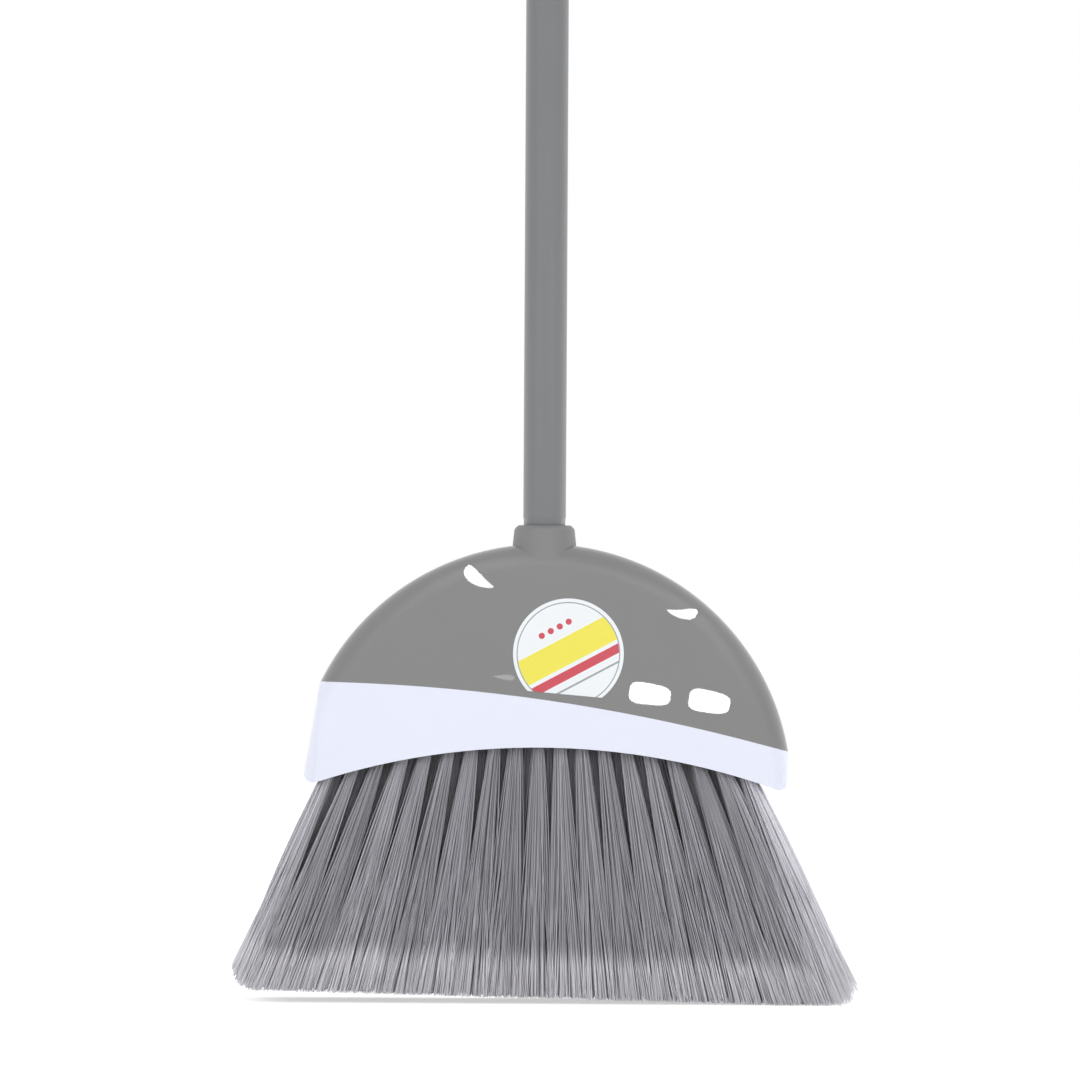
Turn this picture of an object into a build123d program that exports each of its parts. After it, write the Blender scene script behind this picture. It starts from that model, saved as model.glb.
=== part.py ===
"""Household broom: a half-disc head with stapled bristle tufts and a screw-in tube handle.

The front faces -Y, the handle runs up +Z and the floor is Z = 0. All sizes are millimetres.
"""

import os
from math import cos, radians, sin, sqrt, tan

from build123d import *

os.makedirs("parts", exist_ok=True)

# Handle tube and its hanging end
pole_diameter = 22.0
pole_wall = 0.4
pole_length = 1200.0
neck_diameter = 21.5
neck_length = 17.0
neck_taper = 0.6
plug_clearance = 0.05
hang_diameter = 21.5
hang_plug_length = 26.0
hang_plug_wall = 2.0
hang_neck = 9.0
hang_shoulder = 9.0
hang_eye_rise = 26.0
hang_tab_thickness = 9.0
hang_hole_diameter = 9.0
hang_edge = 1.2

# Screw end of the handle and the socket it turns in
thread_crest_diameter = 20.9
thread_length = 30.0
thread_lead_in = 2.5
insert_plug_length = 40.0
insert_hollow_diameter = 13.0
insert_hollow_below_seat = 20.0
thread_bore_diameter = 21.0
thread_bore_depth = 34.0
pole_bore_diameter = 21.6
pole_seat_depth = 14.0
boss_diameter = 26.0
boss_floor = 3.0

# Head: a half disc whose flat front and back lean together towards the collar
dome_radius = 127.6
dome_centre_z = 107.0
disc_half = 28.2
disc_tilt = 5.1
rim_radius = 13.0
rim_flats = 3

# Cap
collar_foot_z = 235.0
cap_wall = 2.5
cap_rim_wall = 3.0
cap_draft = 24.0
cap_sides = 12
collar_diameter = 31.0
collar_root_diameter = 35.6
collar_height = 10.0
collar_root_depth = 14.0
collar_chamfer = 2.0
web_thickness = 2.0
web_half_length = 84.0

# Seam between cap and band, and the arch under the band, as large circles
seam_radius = 940.0
seam_crown = (-127.5, 164.2)
arch_radius = 365.0
arch_crown = (-2.0, 131.1)

# Band
band_wall = 2.5
band_left_high, band_left_low = (-114.6, 164.0), (-122.4, 120.0)
band_right_high, band_right_low = (125.3, 133.0), (126.2, 112.0)
band_draft = 14.0
band_end_radius = 14.0
band_end_room = 1.0
band_corner = 5.0
fit_gap = 0.2
spigot_wall = 2.0
spigot_height = 9.0
spigot_root = 2.0
ledge_width = 2.6
ledge_thickness = 2.0
latch_places = (-72.0, 0.0, 66.0)
latch_length = 15.0
latch_height = 2.4
latch_reach = 0.8
latch_rise = 4.8
latch_room = 0.4

# Tuft block and the staples in it
backing_low = 7.0
backing_high = 10.0
block_thickness = 5.0
staple_width = 4.6
staple_wire = 0.5
staple_height = 2.2
staple_lift = 0.1
staple_pocket = 1.0

# Bristles: columns fan out sideways, rows lean out to front and back
tuft_columns = 19
tuft_rows = 5
fan_apex_z = 374.0
fan_step = 0.0465
row_stagger = 0.25
row_apex_z = 252.0
row_step = 0.066
tuft_pattern = ((0, 0), (-1, -1), (1, -1), (1, 1), (-1, 1))
tuft_root_reach = 1.25
tuft_tip_reach = 5.0
strand_across = 2.2
strand_sides = 3
backing_half_depth = 19.6
backing_gap = 0.15

# Trim of the bristle tips: flat on the floor at the right, rising a little to the left
trim_flat_x = 121.0
trim_slope = 0.0225
trim_left, trim_right = 0.468, 0.428
trim_corner_left = 9.0
trim_corner_right = 4.0
strand_overrun = 1.0

# Round label
label_radius = 28.4
label_centre = (12.6, 179.2)
label_flat_drop = 21.0
label_turn = -5.0
label_thickness = 0.3

# Extent of the forms that are cut to shape
room_low_z, room_high_z = 90.0, 190.0
reach = 180.0

# Levels that follow from the sizes above
collar_top = collar_foot_z + collar_height
seat_z = collar_top - pole_seat_depth
pole_top = seat_z + pole_length
neck_top = seat_z + neck_length
eye_z = pole_top + hang_eye_rise
seam_centre = (seam_crown[0], seam_crown[1] - seam_radius)
arch_centre = (arch_crown[0], arch_crown[1] - arch_radius)
block_high = backing_high + block_thickness
lean = radians(disc_tilt)
front_normal = Vector(0, -cos(lean), sin(lean))


def head_depth(z):
    """Half depth of the head at height z."""
    return disc_half / cos(lean) - (z - dome_centre_z) * tan(lean)


def rim_point(turn):
    """Point of the disc's section, as radius and height, where the round of its rim has turned so far."""
    radius = dome_radius - rim_radius + rim_radius * cos(radians(turn))
    return (radius, disc_half - rim_radius + rim_radius * sin(radians(turn)))


def head_form():
    """Solid form of the whole head: a tilted disc with a rounded rim, cut on the middle plane and mirrored."""
    middle = (0, 0, dome_centre_z)
    plane = Plane(origin=middle, x_dir=(1, 0, 0), z_dir=Vector(1, 0, 0).cross(front_normal))
    turns = [90 * i / (rim_flats + 1) for i in range(rim_flats + 2)]
    with BuildPart() as form:
        with BuildSketch(plane):
            Polygon(
                (0, -disc_half),
                (dome_radius, -disc_half),
                *[rim_point(turn) for turn in turns],
                (0, disc_half),
                align=None,
            )
        revolve(axis=Axis(middle, front_normal))
        split(bisect_by=Plane.XZ, keep=Keep.TOP)
        mirror(about=Plane.XZ)
    return form.part


def cap_outline(inset):
    """Points of a many-sided half disc inside the dome, moved in by inset."""
    radius = dome_radius - inset
    turns = [radians(180 * i / cap_sides) for i in range(cap_sides + 1)]
    return [(radius * cos(turn), dome_centre_z + radius * sin(turn)) for turn in turns]


def seam_height(x):
    """Height of the seam between cap and band at x."""
    return seam_centre[1] + sqrt(seam_radius**2 - (x - seam_centre[0]) ** 2)


def band_side(high, low, z):
    """Point at height z on one end edge of the band."""
    slope = (low[0] - high[0]) / (low[1] - high[1])
    return (high[0] + slope * (z - high[1]), z)


def band_outline(inset):
    """Corners of the four-sided room between the band's ends, moved in by inset."""
    left = [band_side(band_left_high, band_left_low, z) for z in (room_low_z, room_high_z)]
    right = [band_side(band_right_high, band_right_low, z) for z in (room_high_z, room_low_z)]
    return [(x + inset, z) for x, z in left] + [(x - inset, z) for x, z in right]


def room(outline, draft, inset):
    """Flat-sided room in the head: an outline on the middle plane, drafted to the walls moved in by inset."""
    with BuildPart() as form:
        with BuildSketch(Plane.XZ):
            Polygon(*outline, align=None)
        extrude(amount=reach / 4, both=True, taper=draft)
        with BuildSketch(Plane.YZ):
            with BuildLine():
                low, high = [(head_depth(z) - inset, z) for z in (room_low_z, collar_top)]
                back = Line(low, high)
                front = mirror(back, about=Plane.YZ)
                Line(back @ 0, front @ 0)
                Line(back @ 1, front @ 1)
            make_face()
        extrude(amount=reach, both=True, mode=Mode.INTERSECT)
    return form.part


def cap_room(inset):
    """Room inside the cap, moved in by inset from the cap's own inner walls."""
    return room(cap_outline(cap_rim_wall + inset), cap_draft, cap_wall + inset)


def band_room(inset):
    """Room inside the band, moved in by inset from the band's own inner walls."""
    return room(band_outline(band_wall + inset), band_draft, band_wall + inset)


def end_trim(high, low):
    """Slanted prism with rounded corners that ends the band on one side."""
    slant = Vector(high[0] - low[0], 0, high[1] - low[1]).normalized()
    inward = 1 if high[0] < 0 else -1
    foot = band_side(high, low, room_low_z)
    plane = Plane(origin=(foot[0], 0, foot[1]), x_dir=Vector(0, inward, 0).cross(slant), z_dir=slant)
    with BuildPart() as prism:
        with BuildSketch(plane) as plan:
            Rectangle(2 * reach, 2 * (disc_half + band_end_room), align=(Align.MIN, Align.CENTER))
            fillet(plan.vertices().group_by(Axis.X)[0], band_end_radius)
        extrude(amount=reach / 2)
    return prism.part


def corner_cut(high, low):
    """Prism outside the round between the band's end and the arch, on one side."""
    slant = Vector(high[0] - low[0], high[1] - low[1]).normalized()
    inward = Vector(slant.Y, -slant.X) if high[0] < 0 else Vector(-slant.Y, slant.X)
    start = Vector(*low) + inward * band_corner - Vector(*arch_centre)
    part_way = start.dot(slant)
    rise = sqrt(part_way**2 - start.dot(start) + (arch_radius + band_corner) ** 2) - part_way
    centre = Vector(*low) + inward * band_corner + slant * rise
    down = (Vector(*arch_centre) - centre).normalized()
    with BuildPart() as prism:
        with BuildSketch(Plane.XZ):
            Polygon(
                (centre.X, centre.Y),
                *[(point.X, point.Y) for point in (centre - inward * reach, centre + down * reach)],
                align=None,
            )
            with Locations((centre.X, centre.Y)):
                Circle(band_corner, mode=Mode.SUBTRACT)
        extrude(amount=reach, both=True)
    return prism.part


def layer(shape, centre, low, high):
    """The part of a form between two circles about one centre, seen from the front."""
    with BuildPart() as slab:
        add(shape)
        with BuildSketch(Plane.XZ):
            with Locations(centre):
                Circle(high)
                Circle(low, mode=Mode.SUBTRACT)
        extrude(amount=reach, both=True, mode=Mode.INTERSECT)
    return slab.part


def fan_height(slope, lift):
    """Height at which a fan line of that slope crosses the arch raised by lift."""
    run = slope * fan_apex_z - arch_centre[0]
    a = 1 + slope**2
    b = slope * run + arch_centre[1]
    c = run**2 + arch_centre[1] ** 2 - (arch_radius + lift) ** 2
    return (b + sqrt(b**2 - a * c)) / a


def fan_point(slope, lift):
    """Front-view point on a fan line, on the arch raised by lift."""
    z = fan_height(slope, lift)
    return (slope * (fan_apex_z - z), z)


def tuft_slopes(column):
    """Sideways and front-to-back slope of each tuft in a column; every second row is one tuft shorter."""
    middle = column - (tuft_columns - 1) / 2
    for row in range(tuft_rows):
        between = row % 2 == 1
        if between and column == tuft_columns - 1:
            continue
        shift = row_stagger if between else -row_stagger
        yield (middle + shift) * fan_step, (row - (tuft_rows - 1) / 2) * row_step


def tuft_axis(slope_x, slope_y, z):
    """Point on a tuft's middle line at height z."""
    return Vector(slope_x * (fan_apex_z - z), slope_y * (row_apex_z - z), z)


def strand(slope_x, slope_y, place):
    """One bundle of filaments, from inside its backing to just under the floor."""
    root_z = fan_height(slope_x, (backing_low + backing_high) / 2)
    across = Vector(place[0], place[1], 0)
    root = tuft_axis(slope_x, slope_y, root_z) + across * tuft_root_reach
    tip = tuft_axis(slope_x, slope_y, -strand_overrun) + across * tuft_tip_reach
    with BuildPart() as bundle:
        with BuildSketch(Plane.XY.offset(root.Z)):
            with Locations((root.X, root.Y)):
                RegularPolygon(strand_across / 2, strand_sides)
        extrude(amount=(tip - root).length, dir=(tip - root).normalized())
    return bundle.part


def staples(drop):
    """A box above every tuft for its staple, with its foot lowered by drop."""
    feet = []
    for column in range(tuft_columns):
        for slope_x, slope_y in tuft_slopes(column):
            foot_z = fan_height(slope_x, backing_high) + staple_lift
            feet.append(tuft_axis(slope_x, slope_y, foot_z) - Vector(0, 0, drop))
    with BuildPart() as boxes:
        with Locations(*feet):
            Box(
                staple_wire,
                staple_width,
                staple_height + drop,
                align=(Align.CENTER, Align.CENTER, Align.MIN),
            )
    return boxes.part


def latch_boxes(wall, grow):
    """Boxes for the latches, centred on the head's form moved in by wall, larger by grow all round."""
    with BuildPart() as boxes:
        for x in latch_places:
            z = seam_height(x) + latch_rise
            depth = head_depth(z) - wall
            with Locations((x, -depth, z), (x, depth, z)):
                Box(latch_length + 2 * grow, 2 * (latch_reach + grow), latch_height + 2 * grow)
    return boxes.part


# Handle tube, drawn in a little at the foot where it grips the screw end
neck_r = neck_diameter / 2
pole_r = pole_diameter / 2
with BuildPart() as pole_tube:
    with BuildSketch(Plane.XZ):
        Polygon(
            (neck_r - pole_wall, seat_z),
            (neck_r, seat_z),
            (neck_r, neck_top),
            (pole_r, neck_top + neck_taper),
            (pole_r, pole_top),
            (pole_r - pole_wall, pole_top),
            (pole_r - pole_wall, neck_top + neck_taper),
            (neck_r - pole_wall, neck_top),
            align=None,
        )
    revolve(axis=Axis.Z)
pole_tube.part.label = "pole_tube"
export_step(pole_tube.part, "parts/pole_tube.step")

# Plastic screw end pressed into the tube
crest_r = thread_crest_diameter / 2
plug_r = neck_r - pole_wall - plug_clearance
hollow_r = insert_hollow_diameter / 2
plug_top = seat_z + insert_plug_length
tip_z = seat_z - thread_length
hollow_z = seat_z - insert_hollow_below_seat
with BuildPart() as thread_insert:
    with BuildSketch(Plane.XZ):
        Polygon(
            (0, tip_z),
            (crest_r - thread_lead_in, tip_z),
            (crest_r, tip_z + thread_lead_in),
            (crest_r, seat_z),
            (plug_r, seat_z),
            (plug_r, plug_top),
            (hollow_r, plug_top),
            (hollow_r, hollow_z),
            (0, hollow_z),
            align=None,
        )
    revolve(axis=Axis.Z)
thread_insert.part.label = "thread_insert"
export_step(thread_insert.part, "parts/thread_insert.step")

# Hanging end: a round neck that flattens into an eye, on a plug inside the tube
hang_r = hang_diameter / 2
tab_half = hang_tab_thickness / 2
eye_r = sqrt(hang_r**2 - tab_half**2)
shoulder_z = pole_top + hang_neck
tab_z = shoulder_z + hang_shoulder
hang_plug_r = pole_r - pole_wall - plug_clearance
with BuildPart() as hang_tab:
    with BuildSketch(Plane.XZ):
        with Locations((0, eye_z)):
            Circle(eye_r)
            Rectangle(2 * eye_r, eye_z - shoulder_z, align=(Align.CENTER, Align.MAX))
    extrude(amount=tab_half, both=True)
    chamfer(hang_tab.faces().filter_by(Axis.Y).edges(), hang_edge)
    with BuildSketch(Plane.XZ):
        with Locations((0, eye_z)):
            Circle(hang_hole_diameter / 2)
    extrude(amount=reach, both=True, mode=Mode.SUBTRACT)

with BuildPart() as hang_cap:
    with BuildSketch(Plane.XZ):
        Polygon(
            (0, pole_top), (hang_r, pole_top), (hang_r, shoulder_z), (eye_r, tab_z), (0, tab_z), align=None
        )
    revolve(axis=Axis.Z)
    with BuildSketch(Plane.YZ):
        with BuildLine():
            half = Polyline((hang_r, pole_top), (hang_r, shoulder_z), (tab_half, tab_z))
            other = mirror(half, about=Plane.YZ)
            Line(half @ 0, other @ 0)
            Line(half @ 1, other @ 1)
        make_face()
    extrude(amount=reach, both=True, mode=Mode.INTERSECT)
    add(hang_tab.part)
    with BuildSketch(Plane.XY.offset(pole_top)):
        Circle(hang_plug_r)
        Circle(hang_plug_r - hang_plug_wall, mode=Mode.SUBTRACT)
    extrude(amount=-hang_plug_length)
hang_cap.part.label = "hang_cap"
export_step(hang_cap.part, "parts/hang_cap.step")

# Web inside the cap, from the top down to the tuft block
with BuildPart() as cap_web:
    with BuildSketch(Plane.XZ):
        Polygon(*cap_outline(cap_rim_wall / 2), align=None)
        with Locations((0, dome_centre_z)):
            Rectangle(2 * web_half_length, 2 * reach, mode=Mode.INTERSECT)
        with Locations(arch_centre):
            Circle(arch_radius + block_high + fit_gap, mode=Mode.SUBTRACT)
    extrude(amount=web_thickness / 2, both=True)

# Cap shell with its collar and screw socket
collar_r = collar_diameter / 2
socket_low = seat_z - thread_bore_depth - boss_floor
with BuildPart() as cap_shell:
    add(head_form())
    with BuildSketch(Plane.XZ):
        Polygon(
            (0, collar_foot_z - collar_root_depth),
            (collar_root_diameter / 2, collar_foot_z - collar_root_depth),
            (collar_r, collar_top - collar_chamfer),
            (collar_r - collar_chamfer, collar_top),
            (0, collar_top),
            align=None,
        )
    revolve(axis=Axis.Z)
    add(cap_room(0), mode=Mode.SUBTRACT)
    with BuildSketch(Plane.XZ):
        with Locations(seam_centre):
            Circle(seam_radius)
    extrude(amount=reach, both=True, mode=Mode.SUBTRACT)
    add(cap_web.part)
    with BuildSketch(Plane.XY.offset(socket_low)):
        Circle(boss_diameter / 2)
    extrude(amount=collar_foot_z - cap_wall - socket_low)
    with Locations((0, 0, collar_top)):
        CounterBoreHole(
            thread_bore_diameter / 2,
            pole_bore_diameter / 2,
            pole_seat_depth,
            pole_seat_depth + thread_bore_depth,
        )
    add(latch_boxes(cap_wall + fit_gap, latch_room), mode=Mode.SUBTRACT)
cap_shell.part.label = "cap_shell"
export_step(cap_shell.part, "parts/cap_shell.step")

# Latched spigot that stands on the band's shoulder inside the cap
spigot_inner = fit_gap + spigot_wall
with BuildPart() as spigot:
    add(layer(cap_room(fit_gap), seam_centre, seam_radius - spigot_root / 2, seam_radius + spigot_height))
    add(cap_room(spigot_inner), mode=Mode.SUBTRACT)
    add(latch_boxes(cap_wall + fit_gap, 0))

# Ledge inside the band that the tuft block is pressed up against
under_shoulder = layer(band_room(0), seam_centre, seam_radius / 2, seam_radius - spigot_root)
ledge_low = arch_radius + block_high + fit_gap
with BuildPart() as band_ledge:
    add(layer(under_shoulder, arch_centre, ledge_low, ledge_low + ledge_thickness))
    add(band_room(ledge_width), mode=Mode.SUBTRACT)

# Band under the cap: a skirt with a shoulder, the ledge and the spigot
with BuildPart() as skirt_band:
    add(head_form())
    add(end_trim(band_left_high, band_left_low), mode=Mode.INTERSECT)
    add(end_trim(band_right_high, band_right_low), mode=Mode.INTERSECT)
    with BuildSketch(Plane.XZ):
        Rectangle(2 * reach, 2 * reach)
        with Locations(seam_centre):
            Circle(seam_radius, mode=Mode.INTERSECT)
        with Locations(arch_centre):
            Circle(arch_radius, mode=Mode.SUBTRACT)
    extrude(amount=reach, both=True, mode=Mode.INTERSECT)
    add(corner_cut(band_left_high, band_left_low), mode=Mode.SUBTRACT)
    add(corner_cut(band_right_high, band_right_low), mode=Mode.SUBTRACT)
    add(under_shoulder, mode=Mode.SUBTRACT)
    add(cap_room(spigot_inner), mode=Mode.SUBTRACT)
    add([band_ledge.part, spigot.part])
skirt_band.part.label = "skirt_band"
export_step(skirt_band.part, "parts/skirt_band.step")

# Block that carries the tufts, pressed up into the band from below
with BuildPart() as tuft_block:
    add(layer(band_room(fit_gap), arch_centre, arch_radius + backing_high, arch_radius + block_high))
    add(staples(staple_pocket), mode=Mode.SUBTRACT)
tuft_block.part.label = "tuft_block"
export_step(tuft_block.part, "parts/tuft_block.step")

# Wire staples that hold the folded tufts in the block
tuft_anchors = staples(0)
tuft_anchors.label = "tuft_anchors"
export_step(tuft_anchors, "parts/tuft_anchors.step")

# Space that the trimmed bristles stay inside, seen from the front
trim_left_z = trim_slope * (trim_flat_x + trim_left * fan_apex_z)
left_x = -trim_left * (fan_apex_z - trim_left_z)
left_z = trim_slope * (trim_flat_x - left_x)
with BuildPart() as trim:
    with BuildSketch(Plane.XZ) as outline:
        Polygon(
            (left_x, left_z),
            (trim_flat_x, 0),
            (trim_right * fan_apex_z, 0),
            (trim_right * (fan_apex_z - reach), reach),
            (-trim_left * (fan_apex_z - reach), reach),
            align=None,
        )
        chamfer(outline.vertices().sort_by(Axis.X)[0], trim_corner_left)
        chamfer(outline.vertices().sort_by(Axis.X)[-1], trim_corner_right)
    extrude(amount=reach, both=True)

# One column of tufts at a time, fused to the slice of the block's face that it stands in
half_step = fan_step / 2
for column in range(tuft_columns):
    middle = (column - (tuft_columns - 1) / 2) * fan_step
    strands = [strand(*slopes, place) for slopes in tuft_slopes(column) for place in tuft_pattern]
    edge = half_step - backing_gap / (fan_apex_z - arch_crown[1])
    with BuildPart() as tufts:
        with BuildSketch(Plane.XZ):
            Polygon(
                fan_point(middle - edge, backing_low),
                fan_point(middle + edge, backing_low),
                fan_point(middle + edge, backing_high),
                fan_point(middle - edge, backing_high),
                align=None,
            )
        extrude(amount=backing_half_depth, both=True)
        add(strands)
        add(trim.part, mode=Mode.INTERSECT)
    name = f"tufts_{column + 1:02d}"
    tufts.part.label = name
    export_step(tufts.part, f"parts/{name}.step")

# Round label with a flat foot, on the flat front of the cap
label_foot = (label_centre[0], -head_depth(label_centre[1]), label_centre[1])
with BuildPart() as round_label:
    with BuildSketch(Plane(origin=label_foot, x_dir=(1, 0, 0), z_dir=front_normal)):
        with Locations(Location((0, 0, 0), (0, 0, label_turn))):
            Circle(label_radius)
            with Locations((0, -label_flat_drop)):
                Rectangle(reach, reach, align=(Align.CENTER, Align.MIN), mode=Mode.INTERSECT)
    extrude(amount=label_thickness)
round_label.part.label = "round_label"
export_step(round_label.part, "parts/round_label.step")
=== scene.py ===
"""Broom with a half-disc head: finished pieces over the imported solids, and the studio round them.

The front faces -Y, the handle runs up +Z and the floor is Z = 0. All sizes are metres.
"""

import math

import bmesh
import bpy
from bpy.props import FloatProperty, FloatVectorProperty, IntProperty, PointerProperty
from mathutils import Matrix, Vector
from mathutils.geometry import intersect_point_line


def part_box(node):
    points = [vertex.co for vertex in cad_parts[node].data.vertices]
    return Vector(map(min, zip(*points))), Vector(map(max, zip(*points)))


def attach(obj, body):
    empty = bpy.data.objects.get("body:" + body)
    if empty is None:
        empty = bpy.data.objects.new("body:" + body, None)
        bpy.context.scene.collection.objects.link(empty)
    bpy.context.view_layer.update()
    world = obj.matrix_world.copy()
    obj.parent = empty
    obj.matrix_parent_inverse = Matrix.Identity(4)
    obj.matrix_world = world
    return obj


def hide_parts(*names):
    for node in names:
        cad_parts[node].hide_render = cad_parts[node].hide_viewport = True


bl_info = {
    "name": "Half-disc broom",
    "version": (1, 0, 0),
    "blender": (4, 5, 0),
    "location": "3D View > Sidebar > Broom",
    "description": "Builds the finished pieces of a screw-handle broom and a plain studio",
    "category": "Object",
}

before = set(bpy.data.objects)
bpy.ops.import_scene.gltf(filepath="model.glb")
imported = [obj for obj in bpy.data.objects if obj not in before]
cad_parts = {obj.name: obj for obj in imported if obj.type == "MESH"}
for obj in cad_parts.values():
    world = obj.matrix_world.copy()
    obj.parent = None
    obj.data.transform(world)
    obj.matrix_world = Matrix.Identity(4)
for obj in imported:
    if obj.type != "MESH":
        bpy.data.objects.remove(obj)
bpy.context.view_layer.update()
tube_low, tube_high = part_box("pole_tube")
screw_low, screw_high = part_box("thread_insert")
label_low, label_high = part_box("round_label")

# Head form: a half disc whose flat front and back lean together towards the collar
DOME_RADIUS = 0.1276
DOME_CENTRE_Z = 0.107
DISC_HALF = 0.0282
DISC_TILT = math.radians(5.1)
RIM_RADIUS = 0.013

# Collar: radius and height of its foot and upper edge, its bore, and the run, cut and sag of its edges
COLLAR_FOOT = (0.0178, 0.221)
COLLAR_EDGE = (0.0155, 0.243)
COLLAR_TOP_Z = 0.245
COLLAR_BORE = 0.0108
COLLAR_SEAT_Z = 0.231
COLLAR_WALL = 0.0007
COLLAR_SOFT = (0.0008, 0.0005, 0.0001)
MOUTH_ROUND = 0.0004

# Rim under the collar, laid anew: half its width, the hole left for the screw, and the reach of its seam
CROWN_HALF = 0.0205
CROWN_HOLE = 0.0147
SEAM_GAP = 0.0001

# How near, and how nearly parallel, a packed face lies to the smooth form that it stands for
SKIN_GAP = 0.0004
SKIN_CLOSE = 0.0001
SKIN_FACING = 0.96
RIM_FACING = 0.85
CROWN_GAP = 0.0005
COLLAR_GAP = 0.0006
LEVEL_FACING = 0.99

# Rounding: how far apart two values, or two vertices, may be and still count as one
SLACK = 1e-5
WELD = 1e-6

# Tube and its ends: the shoulder over the neck, the eye's edges, the hollow plug with its tapered nose
SHOULDER_RISE = 0.0012
SHOULDER_MIDDLE = 0.0005
EYE_ROUND = 0.0007
PLUG_FIT = 0.00005
PLUG_EDGE = 0.0008
SCREW_HOLLOW = 0.0065
SCREW_VENT = 0.0008
SCREW_NOSE = 0.0025
SCREW_TAPER = 0.0020
SCREW_FLOOR = 0.010

# Thread: foot and crest as shares of the pitch, the share of its length that fades, its size at the ends
THREAD_FOOT = 0.8
THREAD_CREST = 0.3
THREAD_FADE = 0.06
THREAD_START = 0.05

# Tuft field: columns fan out sideways from one point, rows lean out to front and back
TUFT_COLUMNS = 19
TUFT_ROWS = 5
FAN_APEX_Z = 0.374
FAN_STEP = 0.0465
ROW_APEX_Z = 0.252
ROW_STEP = 0.066
ROW_STAGGER = 0.25
ARCH_RADIUS = 0.365
ARCH_CROWN = (-0.002, 0.1311)
BLOCK_UNDERSIDE = 0.010

# Trim of the tips, by where a filament meets the floor: a level stretch, a rise to the left, two cut corners
TRIM_LEVEL_X = 0.121
TRIM_RISE = 0.0225
TRIM_CORNERS = (-0.150, 0.1525)
TRIM_CURVES = (37.0, 50.0)

# Spread of the tips: drawn in by a share past its limits; the outer right tufts lean out and spread early
SIDE_LIMITS = (-0.160, 0.161)
SIDE_HOLD = 0.4
DEPTH_LIMIT = 0.034
DEPTH_HOLD = 0.6
LEAN_RUN = (0.136, 0.158)
LEAN_REACH = 0.0042
EARLY_RUN = (0.110, 0.150)
EARLY_SHARE = 0.7

# Filaments: their bow, their thinner split tips, the tuft's share of their shade, and the painted highlight
# on the outer ones
BOW_WAVE = 1.25
TIP_WIDTH = 0.6
FLAG_VARIES = 0.006
FLAG_FADE = (0.62, 1.14)
TUFT_SHADE = 0.5
PAINTED_HIGHLIGHT_RIGHT = (0.134, 0.156)
PAINTED_HIGHLIGHT_LEFT = (0.146, 0.162)
PAINTED_HIGHLIGHT_LEFT_SHARE = 0.5

# Seeds set aside for the random draws of one tuft column
SEED_STEP = 10

# Print of the label: stripes by their lower and upper edges, a row of dots, a ring by its two insets
PRINT_TURN = math.radians(28)
BROAD_STRIPE = (-0.0050, 0.0085)
NARROW_STRIPE = (-0.0115, -0.0070)
THIN_LINE = (-0.0160, -0.0150)
DOT_PITCH = 0.0104
DOT_RADIUS = 0.0016
DOT_HEIGHT = 0.0145
RING_INSETS = (0.0024, 0.0018)

# Grain: the middle stretch of a noise, over which a roughness changes
GRAIN_MIDDLE = (0.3, 0.7)

# Studio: its floor and lamps, and the sine of the steepest turn of the rim that a card is placed for
WHITE = (1, 1, 1, 1)
FLOOR_HALF = 4.0
FLOOR_LIFT = 0.55
LAMP_SIZE = 1.6
LAMP_TARGET = (0, 0, 0.2)
CARD_STEEPEST = 0.95


def paint(red, green, blue):
    """Scene-linear colour of a paint written as 8-bit display values."""
    levels = [value / 255 for value in (red, green, blue)]
    return tuple(v / 12.92 if v <= 0.04045 else ((v + 0.055) / 1.055) ** 2.4 for v in levels)


def colour_prop(name, description, red, green, blue):
    """Colour setting with its default written as display values."""
    return FloatVectorProperty(
        name=name,
        description=description,
        subtype="COLOR",
        size=3,
        min=0.0,
        max=1.0,
        default=paint(red, green, blue),
    )


def length_prop(name, description, default):
    """Length setting in metres."""
    return FloatProperty(name=name, description=description, default=default, unit="LENGTH", precision=5)


class BroomHandle(bpy.types.PropertyGroup):
    """Sizes and colours of the tube handle and its two ends"""

    tube_sides: IntProperty(name="Tube sides", description="Faces round the tube", default=96, min=24)
    wall: length_prop("Tube wall", "Thickness of the tube's wall", 0.0004)
    neck_radius: length_prop("Neck radius", "Radius of the drawn-in foot of the tube", 0.01075)
    neck_length: length_prop("Neck length", "Height of the drawn-in foot of the tube", 0.017)
    thread_pitch: length_prop("Thread pitch", "Rise of the screw end in one turn", 0.0042)
    thread_depth: length_prop("Thread depth", "Height of the thread over its core", 0.0014)
    coat: colour_prop("Tube coat", "Colour of the tube's coating", 112, 113, 115)
    moulding: colour_prop("End mouldings", "Colour of the screw end and the hanging eye", 62, 63, 65)


class BroomHead(bpy.types.PropertyGroup):
    """Edges and colours of the cap, the band and the tuft block"""

    edge_round: length_prop("Edge round", "Radius of the moulded edges", 0.0006)
    cap: colour_prop("Cap", "Colour of the cap's plastic", 114, 114, 114)
    # Painted reflection: the collar is the cap's own plastic, painted lighter to make up for the gloss its
    # satin finish lacks
    collar: colour_prop("Collar", "Colour of the satin collar", 124, 124, 124)
    band: colour_prop("Band", "Colour of the band's plastic", 224, 227, 242)
    block: colour_prop("Tuft block", "Colour of the block that holds the tufts", 58, 59, 62)
    staple: colour_prop("Staples", "Colour of the staple wire", 176, 174, 168)


class BroomLabel(bpy.types.PropertyGroup):
    """Colours of the round label's print"""

    ground: colour_prop("Ground", "Colour of the label film", 231, 235, 238)
    sweep: colour_prop("Broad stripe", "Colour of the broad printed stripe", 232, 221, 66)
    line: colour_prop("Narrow stripe", "Colour of the narrow stripe and the dots", 196, 52, 70)
    shade: colour_prop("Ring", "Colour of the thin printed ring and line", 150, 153, 158)


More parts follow.
